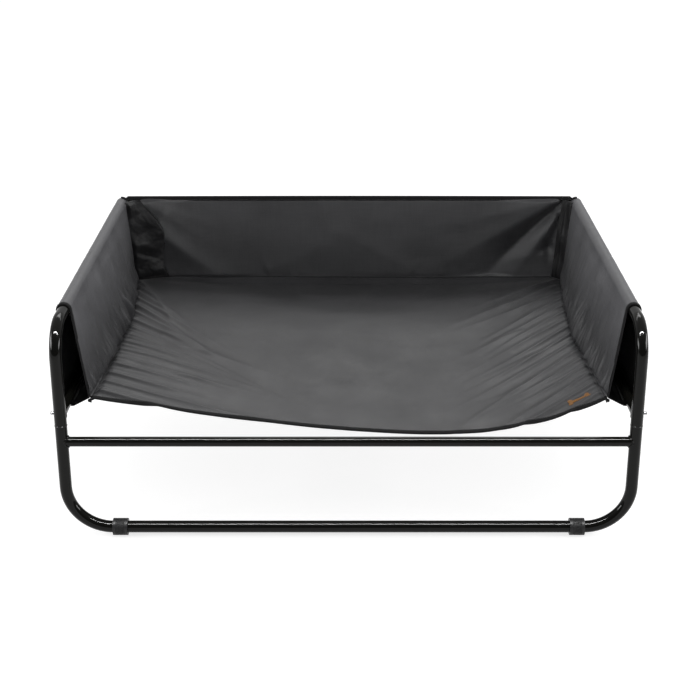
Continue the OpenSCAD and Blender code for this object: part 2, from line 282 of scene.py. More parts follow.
# ---------------- materials
class Nodes:
    """Small helper that adds and links shader nodes."""

    def __init__(self, name):
        self.mat = bpy.data.materials.new(name)
        self.mat.use_nodes = True
        self.tree = self.mat.node_tree
        self.bsdf = self.tree.nodes["Principled BSDF"]

    def add(self, kind, inputs=None, **props):
        node = self.tree.nodes.new(kind)
        for k, v in props.items():
            setattr(node, k, v)
        for k, v in (inputs or {}).items():
            if isinstance(v, bpy.types.NodeSocket):
                self.tree.links.new(v, node.inputs[k])
            else:
                node.inputs[k].default_value = v
        return node

    def math(self, op, a, b=0.0, c=0.0):
        node = self.add("ShaderNodeMath", {0: a, 1: b, 2: c}, operation=op)
        return node.outputs[0]

    def range(self, v, lo, hi, a, b):
        ins = {"Value": v, "From Min": lo, "From Max": hi, "To Min": a, "To Max": b}
        return self.add("ShaderNodeMapRange", ins).outputs[0]

    def noise(self, vector, scale, detail=3.0, rough=0.5):
        ins = {"Vector": vector, "Scale": scale, "Detail": detail, "Roughness": rough}
        return self.add("ShaderNodeTexNoise", ins).outputs["Fac"]

    def mapping(self, vector, scale):
        return self.add("ShaderNodeMapping", {"Vector": vector, "Scale": scale}).outputs[0]

    def bump(self, height, strength, distance):
        ins = {"Height": height, "Strength": strength, "Distance": distance}
        return self.add("ShaderNodeBump", ins).outputs[0]

    def colour(self, a, b, fac):
        node = self.add("ShaderNodeMix", {0: fac}, data_type="RGBA")
        node.inputs[6].default_value = (*a, 1)
        node.inputs[7].default_value = (*b, 1)
        return node.outputs[2]

    def set(self, **vals):
        for k, v in vals.items():
            key = k.replace("_", " ")
            sock = self.bsdf.inputs[key]
            if isinstance(v, bpy.types.NodeSocket):
                self.tree.links.new(v, sock)
            else:
                sock.default_value = v
        return self.mat


YARN_PITCH = 0.0009
# Heights between which the cloth of the side walls turns from its own tone to a lighter one: painted light,
# brighter towards the rail
PAINTED_LIGHT_FROM, PAINTED_LIGHT_TO = 0.305, 0.398


def cloth_material(name, dark, light, sheen=0.04, rough=0.50, bump=0.3, gloss=0.5, painted_light_gain=0.0):
    """Coated plain-weave polyester: crossing yarns, slubs and a faint unevenness in shade."""
    n = Nodes(name)
    uv = n.add("ShaderNodeTexCoord").outputs["UV"]
    sep = n.add("ShaderNodeSeparateXYZ", {0: uv})
    k = math.pi / YARN_PITCH
    su = n.math("SINE", n.math("MULTIPLY", sep.outputs[0], k))
    sv = n.math("SINE", n.math("MULTIPLY", sep.outputs[1], k))
    weave = n.math("MULTIPLY_ADD", n.math("MULTIPLY", su, sv), 0.5, 0.5)
    warp = n.noise(n.mapping(uv, scale=(1100, 26, 1)), 1.0, 2.0)
    weft = n.noise(n.mapping(uv, scale=(26, 1100, 1)), 1.0, 2.0)
    warp_low = n.noise(n.mapping(uv, scale=(330, 14, 1)), 1.0, 3.0)
    weft_low = n.noise(n.mapping(uv, scale=(14, 330, 1)), 1.0, 3.0)
    fine = n.math("MULTIPLY", n.math("ADD", warp, weft), 0.28)
    slub = n.math("MULTIPLY_ADD", n.math("ADD", warp_low, weft_low), 0.22, fine)
    cloud = n.noise(n.mapping(uv, scale=(9, 9, 1)), 1.0, 4.0, 0.6)
    fac = n.math("ADD", n.math("MULTIPLY", slub, 0.75), n.math("MULTIPLY", cloud, 0.35))
    fac = n.math("ADD", fac, n.math("MULTIPLY", weave, 0.12))
    fac = n.range(fac, 0.40, 0.80, 0.0, 1.0)
    col = n.colour(dark, light, fac)
    if painted_light_gain:
        # painted light: a lighter copy of the cloth's colours, blended in towards the rail it is drawn over
        place = n.add("ShaderNodeTexCoord").outputs["Object"]
        z = n.add("ShaderNodeSeparateXYZ", {0: place}).outputs[2]
        uneven = n.noise(n.mapping(place, scale=(9, 14, 9)), 1.0, 3.0)
        z = n.math("MULTIPLY_ADD", uneven, 0.03, z)
        painted_light = n.range(z, PAINTED_LIGHT_FROM, PAINTED_LIGHT_TO, 0.0, 1.0)
        pale = n.colour([c * painted_light_gain for c in dark], [c * painted_light_gain for c in light], fac)
        col = n.add("ShaderNodeMix", {0: painted_light, 6: col, 7: pale}, data_type="RGBA").outputs[2]
    height = n.math("ADD", n.math("MULTIPLY", weave, 0.7), n.math("MULTIPLY", slub, 0.6))
    nrm = n.bump(height, bump, 0.0004)
    uneven = n.math("ADD", n.math("MULTIPLY", cloud, 0.5), n.math("MULTIPLY", slub, 0.5))
    r = n.range(uneven, 0.38, 0.62, rough - 0.09, rough + 0.09)
    return n.set(Base_Color=col, Roughness=r, Normal=nrm, Sheen_Weight=sheen, Sheen_Roughness=0.45,
                 Specular_IOR_Level=gloss)


def tape_material(name, dark, light, rib=0.0011, sheen=0.2):
    """Woven grosgrain tape with fine cross ribs."""
    n = Nodes(name)
    uv = n.add("ShaderNodeTexCoord").outputs["UV"]
    sep = n.add("ShaderNodeSeparateXYZ", {0: uv})
    rib_u = n.math("SINE", n.math("MULTIPLY", sep.outputs[0], 2 * math.pi / rib))
    yarn = n.noise(n.mapping(uv, scale=(900, 900, 1)), 1.0, 2.0)
    cloud = n.noise(n.mapping(uv, scale=(40, 40, 1)), 1.0, 3.0)
    soft = n.math("ADD", n.math("MULTIPLY", yarn, 0.4), n.math("MULTIPLY", cloud, 0.4))
    fac = n.math("ADD", n.math("MULTIPLY", rib_u, 0.18), soft)
    col = n.colour(dark, light, n.range(fac, 0.15, 0.75, 0.0, 1.0))
    nrm = n.bump(n.math("ADD", n.math("MULTIPLY", rib_u, 0.5), yarn), 0.4, 0.0003)
    return n.set(Base_Color=col, Roughness=n.range(yarn, 0.3, 0.7, 0.62, 0.82), Normal=nrm,
                 Sheen_Weight=sheen, Sheen_Roughness=0.4, Specular_IOR_Level=0.18)


def paint_material(name):
    """Gloss black powder coat with slight orange peel and faint handling marks."""
    n = Nodes(name)
    co = n.add("ShaderNodeTexCoord").outputs["Object"]
    peel = n.noise(co, 260.0, 2.0)
    wave = n.noise(co, 45.0, 3.0)
    scuff = n.noise(n.mapping(co, scale=(70, 70, 500)), 1.0, 4.0, 0.65)
    mark = n.range(scuff, 0.64, 0.80, 0.0, 1.0)
    tint = n.math("ADD", n.math("MULTIPLY", wave, 0.6), n.math("MULTIPLY", mark, 0.4))
    col = n.colour((0.0012, 0.0012, 0.0010), (0.0030, 0.0030, 0.0026), tint)
    rough = n.math("ADD", n.range(wave, 0.3, 0.7, 0.06, 0.11), n.math("MULTIPLY", mark, 0.08))
    nrm = n.bump(n.math("ADD", peel, n.math("MULTIPLY", wave, 0.5)), 0.03, 0.0003)
    return n.set(Base_Color=col, Roughness=rough, Normal=nrm, Specular_IOR_Level=0.17)


# Seven grooves round each foot sleeve: where they start and end, their pitch and the first one's middle
GROOVES_FROM, GROOVES_TO, GROOVE_PITCH, GROOVE_MIDDLE = 0.4101, 0.4269, 0.0024, 0.4113


def plastic_material(name, ribbed=False):
    """Satin moulded plastic with a fine grain."""
    n = Nodes(name)
    co = n.add("ShaderNodeTexCoord").outputs["Object"]
    grain = n.noise(co, 1500.0, 2.0)
    cloud = n.noise(co, 90.0, 3.0)
    col = n.colour((0.004, 0.004, 0.0042), (0.010, 0.010, 0.0105), cloud)
    rough = n.range(grain, 0.3, 0.7, 0.34, 0.48)
    if not ribbed:
        nrm = n.bump(grain, 0.25, 0.0002)
        return n.set(Base_Color=col, Roughness=rough, Normal=nrm, Specular_IOR_Level=0.25)
    # painted shade: the grooves are darker than the ribs, and rougher
    x = n.math("ABSOLUTE", n.add("ShaderNodeSeparateXYZ", {0: co}).outputs[0])
    turns = n.math("MULTIPLY", n.math("SUBTRACT", x, GROOVE_MIDDLE), 2 * math.pi / GROOVE_PITCH)
    wave = n.math("COSINE", turns)
    inside = n.math("MULTIPLY", n.math("GREATER_THAN", x, GROOVES_FROM), n.math("LESS_THAN", x, GROOVES_TO))
    groove = n.math("MULTIPLY", n.math("MULTIPLY_ADD", wave, 0.5, 0.5), inside)
    mixed = n.add("ShaderNodeMix", {0: groove, 6: col}, data_type="RGBA")
    mixed.inputs[7].default_value = (0.001, 0.001, 0.001, 1)
    height = n.math("SUBTRACT", n.math("MULTIPLY", grain, 0.1), groove)
    return n.set(Base_Color=mixed.outputs[2], Roughness=n.math("MULTIPLY_ADD", groove, 0.3, rough),
                 Normal=n.bump(height, 0.8, 0.0007), Specular_IOR_Level=0.3)


def metal_material(name, dark, light, rough=(0.25, 0.42)):
    """Bright or plated steel with fine turning lines and spots of dullness."""
    n = Nodes(name)
    co = n.add("ShaderNodeTexCoord").outputs["Object"]
    line = n.noise(n.mapping(co, scale=(6000, 500, 500)), 1.0, 2.0)
    cloud = n.noise(co, 500.0, 3.0)
    tint = n.math("ADD", n.math("MULTIPLY", line, 0.5), n.math("MULTIPLY", cloud, 0.5))
    return n.set(Base_Color=n.colour(dark, light, tint), Metallic=1.0,
                 Roughness=n.range(cloud, 0.3, 0.7, *rough), Normal=n.bump(line, 0.15, 0.0001))


def thread_material(name, dark, light, rough=0.5, sheen=0.2):
    """Twisted thread."""
    n = Nodes(name)
    co = n.add("ShaderNodeTexCoord").outputs["Object"]
    twist = n.noise(n.mapping(co, scale=(2600, 2600, 2600)), 1.0, 2.0)
    col = n.colour(dark, light, n.range(twist, 0.35, 0.65, 0.0, 1.0))
    return n.set(Base_Color=col, Roughness=rough, Normal=n.bump(twist, 0.4, 0.0002), Sheen_Weight=sheen)


M_CLOTH = cloth_material("sling_cloth", (0.011, 0.011, 0.0121), (0.035, 0.035, 0.0375), bump=0.45)
# the side walls' cloth carries painted light, lighter towards the top rails
M_WALL = cloth_material("sling_cloth_wall", (0.012, 0.012, 0.0131), (0.035, 0.035, 0.0375),
                        bump=0.45, painted_light_gain=2.7)
# painted highlight: a lighter copy of the cloth for the seam welts
M_SEAM_HIGHLIGHT = cloth_material("sling_cloth_seam_painted_highlight", (0.045, 0.045, 0.0475), (0.080, 0.080, 0.0835))
# painted shade: a darker copy of the cloth for the cloths in the rear corners and the rear seam welt
M_CORNER_SHADE = cloth_material("sling_cloth_corner_painted_shade", (0.0026, 0.0026, 0.0029), (0.0085, 0.0085, 0.0092),
                          gloss=0.25)
M_BACKING = cloth_material("black_coated_side", (0.0015, 0.0015, 0.0015), (0.004, 0.004, 0.004),
                           sheen=0.0, rough=0.6, gloss=0.2)
M_TAPE = tape_material("edge_tape", (0.0015, 0.0015, 0.0017), (0.0055, 0.0055, 0.006), sheen=0.01)
M_HOOK = tape_material("hook_tape", (0.006, 0.006, 0.006), (0.02, 0.02, 0.02), rib=0.0016)
M_PAINT = paint_material("gloss_black_paint")
# painted shade for the joint lines of the hoops' legs
M_JOINT_SHADE = plastic_material("joint_shadow_line")
M_PLASTIC = plastic_material("moulded_black_plastic", ribbed=True)
M_ZINC = metal_material("dull_zinc", (0.16, 0.16, 0.165), (0.34, 0.34, 0.35))
M_SPRING = metal_material("spring_steel", (0.2, 0.2, 0.21), (0.42, 0.42, 0.44), (0.2, 0.35))
M_THREAD = thread_material("dark_thread", (0.016, 0.016, 0.017), (0.045, 0.045, 0.048))
M_TAPE_THREAD = thread_material("tape_thread", (0.01, 0.01, 0.011), (0.035, 0.035, 0.037))
M_AMBER = thread_material("amber_thread", (0.16, 0.055, 0.005), (0.34, 0.15, 0.016), 0.42, 0.05)

for name, obj in NODES.items():
    if "sleeve" in name:
        mat = M_PLASTIC
    elif "button" in name:
        mat = M_ZINC
    elif "spring" in name:
        mat = M_SPRING
    elif any(k in name for k in ("loop", "mid_rail", "hoop", "side_bar")):
        mat = M_PAINT
    else:
        mat = M_CLOTH
    obj.data.materials.clear()
    obj.data.materials.append(mat)

# ---------------- base
# Where the folds of the base start along each side seam, and which way they run in plan.
LEFT_AIM = ([-0.34, -0.27, -0.17, -0.09, 0.01, 0.14, 0.33], [-13, -15, -17, -22, -38, -50, -62])
RIGHT_AIM = ([-0.34, -0.23, -0.11, 0.0, 0.1, 0.2, 0.35], [-24, -29, -35, -44, -40, -44, -36])


def base_folds():
    """Arguments of fold() for each fold of the base: every third one along a side seam is a long one."""
    folds = []
    for side, (ys, degs) in ((-1, LEFT_AIM), (1, RIGHT_AIM)):
        y = -0.322
        k = 0
        while y < 0.362:
            major = k % 3 == 0
            aim = math.radians(np.interp(y, ys, degs) + rng.normal(0, 1.0 if major else 1.6))
            angle = aim if side < 0 else math.pi - aim
            if major:
                far, height, width = 0.26 + 0.20 * rng.random(), 0.0066 + 0.0030 * rng.random(), 0.0074
            else:
                far, height, width = 0.05 + 0.16 * rng.random(), 0.0009 + 0.0026 * rng.random(), 0.0038
            x = side * (seam_x(y) - 0.003)
            width *= 0.85 + 0.3 * rng.random()
            folds.append((x, y, angle, far, width, height, rng.normal(0, 0.16), 0.9))
            y += 0.0125 + 0.0045 * rng.random()
            k += 1
    # a few that start out on the base itself
    for x, y, deg, far, w, h in (
        (-0.40, 0.02, -37, 0.28, 0.007, 0.0042),
        (-0.37, -0.05, -24, 0.32, 0.007, 0.0042),
        (-0.42, 0.18, -55, 0.30, 0.008, 0.0040),
        (-0.36, -0.20, -13, 0.36, 0.008, 0.0040),
        (0.38, 0.06, -139, 0.28, 0.007, 0.0040),
        (0.40, -0.06, -143, 0.28, 0.007, 0.0038),
        (0.37, 0.22, -140, 0.24, 0.008, 0.0022),
        (0.36, -0.20, -152, 0.26, 0.008, 0.0022),
        (0.05, 0.33, -100, 0.30, 0.012, 0.0016),
        (-0.12, 0.34, -78, 0.26, 0.012, 0.0014),
        (0.20, 0.34, -118, 0.28, 0.012, 0.0016),
    ):
        folds.append((x, y, math.radians(deg), far, w, h, 0.15, 1.2, 0.0018, 0.05))
    return folds


BASE_FOLDS = base_folds()


def base_relief(X, Y):
    """Height of the base's folds and unevenness above its plain sagging shape."""
    H = np.zeros_like(X)
    for f in BASE_FOLDS:
        H += fold(X, Y, *f)
    edge = smooth((seam_x(Y) - np.abs(X)) / 0.02)
    H += 0.0009 * fractal(X * 16 + 3, Y * 16, 5) * edge
    H += 0.0030 * fractal(X * 5, Y * 5 + 9, 11, 2) * edge
    # small gathers right beside the side seams
    near = np.exp(-np.maximum(seam_x(Y) - np.abs(X), 0) / 0.011)
    H += 0.0003 * near * value_noise(Y * 130, X * 8, 21)
    # behind the creases that run in from the rear corners the cloth slopes down to the rear
    crease = 0.352 - 0.55 * np.maximum(0.47 - np.abs(X), 0) - 0.10 * np.maximum(0.3 - np.abs(X), 0)
    crease = np.maximum(crease, 0.14 + 0.25 * X * X)
    H -= 0.0085 * smooth((Y - crease) / 0.11) * smooth((REAR - Y) / 0.03) * edge
    # the front edge is drawn straight between its ends by its tape, so it carries little of this
    return H * (1 - 0.35 * np.exp(-np.maximum(Y - FRONT, 0) / 0.012))


def base_point(X, Y, lift=0.0):
    X, Y = np.asarray(X, float), np.asarray(Y, float)
    return np.stack([X, Y, base_z(X / seam_x(Y), Y) + base_relief(X, Y) + lift], -1)


def base_grid(nx=340, ny=400):
    u = np.linspace(-1, 1, nx)
    u = np.sign(u) * (1 - (1 - np.abs(u)) ** 1.12)
    y = np.linspace(FRONT, REAR - 0.0006, ny)
    U, Y = np.meshgrid(u, y, indexing="ij")
    return base_point(U * (seam_x(Y) - 0.0008), Y)


def done(obj, replaces=None):
    """Puts a piece on the frame and hides the CAD node it stands for, if there is one."""
    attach(obj, "frame")
    if replaces:
        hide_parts(replaces)
    return obj


base = sheet_object("sling_base", base_grid(), [M_CLOTH])
done(base, "base_panel")


# ---------------- side walls
def meet_angle(y, r):
    """Angle round the top rail at which the flat of the inner wall meets it."""
    dx, dz = seam_x(y) - POST_X, seam_z(y) + FOOT_LIFT - RAIL_Z
    return 2 * math.pi + math.atan2(dz, dx) - math.acos(r / math.hypot(dx, dz))


def lean_back(P):
    """Leans the front edges of the side walls back, most at the top rails."""
    rise = np.clip((P[..., 2] - SEAM_FRONT_Z) / (RAIL_Z - SEAM_FRONT_Z), 0, 1)
    P = P.copy()
    P[..., 1] += LEAN * rise * (1 - along(P[..., 1]))
    return P


def inner_profile(y, r, n_flat, n_arc, end=-0.12):
    """Points of the right inner wall's path at a place y, and the normals of its inner face."""
    foot = np.array([seam_x(y), y, seam_z(y) + FOOT_LIFT])
    meet = meet_angle(y, r)
    edge = np.array([POST_X + r * math.cos(meet), y, RAIL_Z + r * math.sin(meet)])
    t = np.linspace(0, 1, n_flat, endpoint=False)[:, None]
    flat = foot + (edge - foot) * t
    a = np.linspace(meet, end, n_arc)
    arc = np.stack([POST_X + r * np.cos(a), np.full_like(a, y), RAIL_Z + r * np.sin(a)], 1)
    out_flat = np.broadcast_to([math.cos(meet), 0, math.sin(meet)], flat.shape)
    out_arc = np.stack([np.cos(a), 0 * a, np.sin(a)], 1)
    return np.concatenate([flat, arc]), np.concatenate([out_flat, out_arc])


def wall_folds(side):
    gen = np.random.default_rng(31 if side < 0 else 47)
    out = []
    y = -0.338
    while y < 0.36:
        mid = math.exp(-(((y - (0.03 if side < 0 else -0.05)) / 0.26) ** 2))
        lean = (-0.34 if side < 0 else -0.12) + gen.normal(0, 0.06)
        length = (0.045 + 0.045 * gen.random()) * (0.7 + 0.6 * mid)
        height = (0.0064 + 0.0070 * gen.random()) * (0.5 + 0.8 * mid)
        out.append((y, lean, length, 0.0030 + 0.0011 * gen.random(), height))
        y += 0.0085 + 0.0055 * gen.random()
    # long fine lines that reach the rail
    for k in range(16):
        y = -0.33 + 0.66 * (k + gen.random()) / 16
        out.append((y, -0.08 + gen.normal(0, 0.04), 0.19, 0.0030, 0.0013 + 0.0010 * gen.random()))
    return out


def wall_relief(side, Y, S, top):
    """Inward push of the wall's folds; Y along the bed, S up the cloth from the seam."""
    H = np.zeros_like(Y)
    for y0, lean, length, width, height in wall_folds(side):
        angle = math.atan2(1.0, lean)
        H += fold(Y, S, y0, 0.0, angle, length, width, height, flare=0.7, tip=0.0009, start=0.010)
    free = smooth((top - S) / 0.03)
    H += 0.0014 * fractal(Y * 9 + side, S * 12, 63, 3) * free * smooth(S / 0.02)
    # the middle of the wall hangs a little slack
    up = np.sin(math.pi * np.clip(S / np.maximum(top, 1e-6), 0, 1) ** 0.75)
    H += 0.0090 * up * np.exp(-(((Y - 0.03) / 0.27) ** 2)) * free
    return H


def inner_wall_grid(side, ny=420, n_flat=60, n_arc=20):
    ys = np.linspace(FRONT, REAR, ny)
    rows, outs = zip(*[inner_profile(y, WRAP_R, n_flat, n_arc) for y in ys])
    P, N = np.array(rows), np.array(outs)
    S = length_along(P, axis=1)
    top = S[:, n_flat][:, None]
    H = wall_relief(side, P[..., 1], S, np.broadcast_to(top, S.shape))
    H *= np.where(np.arange(P.shape[1]) < n_flat, 1.0, 0.0)[None, :]
    H += 0.00025 * (1 + value_noise(P[..., 1] * 60, S * 60, 77)) * (S > top)
    P = lean_back(P + N * H[..., None])
    P[..., 0] *= side
    return P


def outer_profile(y, r_top, r_bar, n_flat, n_arc):
    """Points of the right outer wall's path at a place y, and the normals of its outer face."""
    head = np.array([POST_X + r_top, y, RAIL_Z + 0.001])
    edge = np.array([POST_X + r_bar, y, BAR_Z])
    t = np.linspace(0, 1, n_flat, endpoint=False)[:, None]
    flat = head + (edge - head) * t
    a = np.radians(np.linspace(0, -95, n_arc))
    arc = np.stack([POST_X + r_bar * np.cos(a), np.full_like(a, y), BAR_Z + r_bar * np.sin(a)], 1)
    out_flat = np.broadcast_to([1.0, 0, 0], flat.shape)
    out_arc = np.stack([np.cos(a), 0 * a, np.sin(a)], 1)
    return np.concatenate([flat, arc]), np.concatenate([out_flat, out_arc])


def outer_wall_grid(side, ny=170, n_flat=44, n_arc=12):
    ys = np.linspace(FRONT, REAR, ny)
    rows, outs = zip(*[outer_profile(y, WRAP_R + CLOTH + 0.0001, BAR_WRAP_R, n_flat, n_arc) for y in ys])
    P, N = np.array(rows), np.array(outs)
    S = length_along(P, axis=1)
    gen = np.random.default_rng(91 + side)
    Y = P[..., 1]
    H = np.zeros_like(Y)
    span = RAIL_Z - BAR_Z
    y = -0.34
    while y < 0.37:
        # one fold down from the rail and one up from the bar
        for up, y0, shortest, spread, high, low in (
            (S, y, 0.05, 0.06, 0.0009, 0.0003),
            (span - S, y + 0.006, 0.04, 0.05, 0.0008, 0.0002),
        ):
            angle = math.atan2(1.0, gen.normal(0, 0.12))
            length = shortest + spread * gen.random()
            H += fold(Y, up, y0, 0.0, angle, length, 0.0045, high * gen.random() + low)
        y += 0.018 + 0.012 * gen.random()
    body = smooth(S / 0.02) * smooth((span - S) / 0.02)
    H = H * body - 0.0022 * np.sin(math.pi * np.clip(S / span, 0, 1)) * body
    H += 0.0008 * fractal(Y * 10, S * 10, 15 + side, 3) * body
    H = np.minimum(H, 0.0011)
    P = lean_back(P + N * H[..., None])
    P[..., 0] *= side
    return P


for side, tag in SIDES:
    two_sided = {"mats": [M_WALL, M_BACKING], "flip": side > 0, "inner_mat": True}
    wall = sheet_object(f"{tag}_wall_inside", inner_wall_grid(side), **two_sided)
    done(wall, f"{tag}_inner_wall")
    outer = sheet_object(f"{tag}_wall_outside", outer_wall_grid(side), **two_sided)
    done(outer, f"{tag}_outer_wall")

    # strip under the side bar, and the hook tape on it
    ys = np.linspace(FRONT, REAR, 130)
    pts = []
    for y in ys:
        a = np.array([seam_x(y) + 0.0008, y, seam_z(y) - 0.0012])
        b = np.array([POST_X - 0.008, y, BAR_Z - 0.0138])
        c = np.array([POST_X + 0.008, y, BAR_Z - 0.0138])
        t = np.linspace(0, 1, 16, endpoint=False)[:, None]
        pts.append(np.concatenate([a + (b - a) * t, b + (c - b) * np.linspace(0, 1, 8)[:, None]]))
    P = np.array(pts)
    k = np.arange(24)
    free = smooth(k / 5.0) * smooth((20 - k) / 6.0)
    P[..., 2] -= np.abs(0.0009 * value_noise(P[..., 1] * 70, P[..., 0] * 40, 5) * free)
    P[..., 0] *= side
    strip = sheet_object(f"{tag}_strip_below", P, [M_BACKING], flip=(side < 0))
    done(strip, f"{tag}_under_strip")
    P = np.zeros((90, 6, 3))
    P[..., 1] = np.linspace(FRONT + 0.016, REAR - 0.016, 90)[:, None]
    P[..., 0] = side * (POST_X + np.linspace(-0.0068, 0.0068, 6))[None, :]
    P[..., 2] = BAR_Z - 0.0125
    hook = sheet_object(f"{tag}_hook_tape", P, [M_HOOK], thick=0.001, flip=(side < 0))
    done(hook, f"{tag}_hook_strip")

# ---------------- back wall
BACK_LOW = SEAM_REAR_Z - 0.002


def back_half(z):
    """Half the width of the back wall at a height z."""
    return mix(SEAM_REAR_X + 0.0022, POST_X - RAIL_R - 0.0006, (z - SEAM_REAR_Z) / (BACK_TOP - SEAM_REAR_Z))


def back_relief(X, Z):
    """Push of the back wall's folds towards the front."""
    H = np.zeros_like(X)
    for x0, z0, deg, far, w, h in (
        (0.500, 0.419, -135, 0.36, 0.013, -0.0260),
        (0.500, 0.412, -124, 0.26, 0.011, 0.0170),
        (0.484, 0.385, -104, 0.14, 0.010, -0.0150),
        (0.474, 0.306, -150, 0.15, 0.015, -0.0085),
        (0.462, 0.284, -170, 0.17, 0.013, 0.0048),
        (0.492, 0.417, -150, 0.38, 0.018, 0.0110),
        (0.488, 0.417, -165, 0.40, 0.020, 0.0045),
        (-0.455, 0.352, -38, 0.34, 0.026, 0.0120),
        (-0.478, 0.412, -50, 0.24, 0.018, 0.0060),
        (-0.470, 0.413, -34, 0.30, 0.020, 0.0040),
        (-0.480, 0.413, -20, 0.34, 0.020, 0.0022),
        (-0.20, 0.236, 24, 0.34, 0.020, 0.0024),
        (0.16, 0.236, 152, 0.32, 0.020, 0.0022),
    ):
        H += fold(X, Z, x0, z0, math.radians(deg), far, w, h, flare=1.0, tip=0.006, start=0.02)
    gen = np.random.default_rng(12)
    x = -0.48
    while x < 0.48:
        angle, length = math.radians(90 + gen.normal(0, 16)), 0.02 + 0.035 * gen.random()
        H += fold(X, Z, x, BACK_LOW, angle, length, 0.006, 0.0004 + 0.0010 * gen.random())
        x += 0.016 + 0.02 * gen.random()
    inside = smooth((back_half(Z) - np.abs(X)) / 0.02)
    inside = inside * smooth((BACK_TOP - Z) / 0.012) * smooth((Z - BACK_LOW) / 0.01)
    H = H * inside + 0.0022 * fractal(X * 6, Z * 9, 41, 3) * inside
    return np.clip(H, -0.016, 0.018)


def back_grid(nx=380, nz=90):
    u = np.linspace(-1, 1, nx)
    z = np.linspace(BACK_LOW, BACK_TOP, nz)
    U, Z = np.meshgrid(u, z, indexing="ij")
    X = U * back_half(Z)
    return np.stack([X, BACK_Y - back_relief(X, Z), Z], -1)


back = sheet_object("sling_back", back_grid(), [M_CLOTH], flip=True)
done(back, "back_panel")


# The share of a corner cloth that runs across the corner, and the size of the crumpled patch
GUSSET_ACROSS, GUSSET_WIDE, GUSSET_TALL = 0.86, 0.085, 0.18


def gusset_grid(side, nv=120, nh=70):
    """The slack cloth across a rear corner: wide and crumpled at the left, a narrow fold at the right."""
    seed = 205 if side < 0 else 411
    v = np.linspace(0, 1, nv)
    h = np.linspace(0, 1, nh)
    V, Hh = np.meshgrid(v, h, indexing="ij")
    foot, head = SEAM_REAR_Z + 0.0006, BACK_TOP - 0.006
    z = mix(foot, head, V)
    y0, y1 = REAR - 0.027, REAR - 0.0004
    # where the side wall's inner face is at each height
    prof, _ = inner_profile(y0, WRAP_R + CLOTH / 2, 60, 30, end=math.pi / 2)
    order = np.argsort(prof[:, 2])
    wall_x = np.interp(z, prof[order, 2], prof[order, 0]) - 0.0009
    if side < 0:
        heights = [0, 0.06, 0.19, 0.36, 0.53, 0.66, 0.79, 0.93, 1]
        widths = [0.080, 0.076, 0.069, 0.072, 0.080, 0.073, 0.059, 0.037, 0.024]
        width = np.interp(V, heights, widths)
        stand = 0.0085 * smooth(V / 0.15) * smooth((1 - V) / 0.12) + 0.001
    else:
        width = np.interp(V, [0, 0.3, 0.7, 1], [0.026, 0.024, 0.021, 0.015])
        stand = 0.0022 * smooth(V / 0.1) * smooth((1 - V) / 0.1) + 0.0006
    back_x = SEAM_REAR_X + 0.006 * V - width
    # the cloth runs across the corner, then turns back under its own free edge
    main = np.clip(Hh / GUSSET_ACROSS, 0, 1)
    under = np.clip((Hh - GUSSET_ACROSS) / (1 - GUSSET_ACROSS), 0, 1)
    x = mix(wall_x, back_x, main) + 0.0035 * under
    y = mix(y0, y1 - stand, 1 - (1 - main) ** 1.7) + stand * smooth(under)
    p, q = Hh * GUSSET_WIDE, V * GUSSET_TALL
    gen = np.random.default_rng(seed)
    facets = np.zeros_like(p)
    for _ in range(15):
        turn = gen.uniform(0, math.pi)
        cx, cy = gen.uniform(0, GUSSET_WIDE), gen.uniform(0, GUSSET_TALL)
        d = (p - cx) * math.cos(turn) + (q - cy) * math.sin(turn)
        near = np.exp(-(((p - cx) ** 2 + (q - cy) ** 2) / 0.045**2))
        facets += gen.choice([-1, 1]) * near * (np.sqrt(d * d + 0.0012**2) - 0.012)
    facets = (facets - facets.mean()) / facets.std()
    body = smooth(Hh / 0.10) * smooth((0.90 - Hh) / 0.14) * smooth(V / 0.05) * smooth((1 - V) / 0.05)
    if side < 0:
        push = 0.0034 * np.clip(facets, -1.6, 2.0) + 0.0014 * fractal(p * 70, q * 70, seed, 3) + 0.0062
    else:
        ridge = np.exp(-(((Hh - 0.55) / 0.10) ** 2))
        push = 0.0012 * np.clip(facets, -1.5, 1.5) + 0.0012 + 0.0030 * ridge
    push = push * body
    x = x - 0.55 * push
    y = y - 0.83 * push
    return np.stack([side * x, y, z], -1)


# the corner cloths are darkened with painted shade
for side, tag in SIDES:
    g = sheet_object(f"{tag}_corner_cloth", gusset_grid(side), [M_CORNER_SHADE], thick=0.0009, flip=(side < 0))
    done(g, f"{tag}_corner_gusset")


# ---------------- edge tapes
TAPE_THICK = 0.0007


def folded_tape(name, path, inward, face, width, gap):
    """A tape folded over a cloth edge: inward points into the cloth and face out of it, at each point."""
    path, inward, face = (np.asarray(a, float) for a in (path, inward, face))
    a = np.linspace(-math.pi / 2, math.pi / 2, 7)
    prof = [(width, gap * 0.42), (width * 0.55, gap * 0.56)]
    prof += [(-gap * 0.5 * math.cos(t) + 0.0002, -gap * 0.5 * math.sin(t)) for t in a]
    prof += [(width * 0.55, -gap * 0.56), (width, -gap * 0.42)]
    prof = np.array(prof)
    P = path[:, None] + inward[:, None] * prof[None, :, 0, None] + face[:, None] * prof[None, :, 1, None]
    return sheet_object(name, P, [M_TAPE], thick=TAPE_THICK)


def unit(v):
    return v / np.maximum(np.linalg.norm(v, axis=-1, keepdims=True), 1e-9)


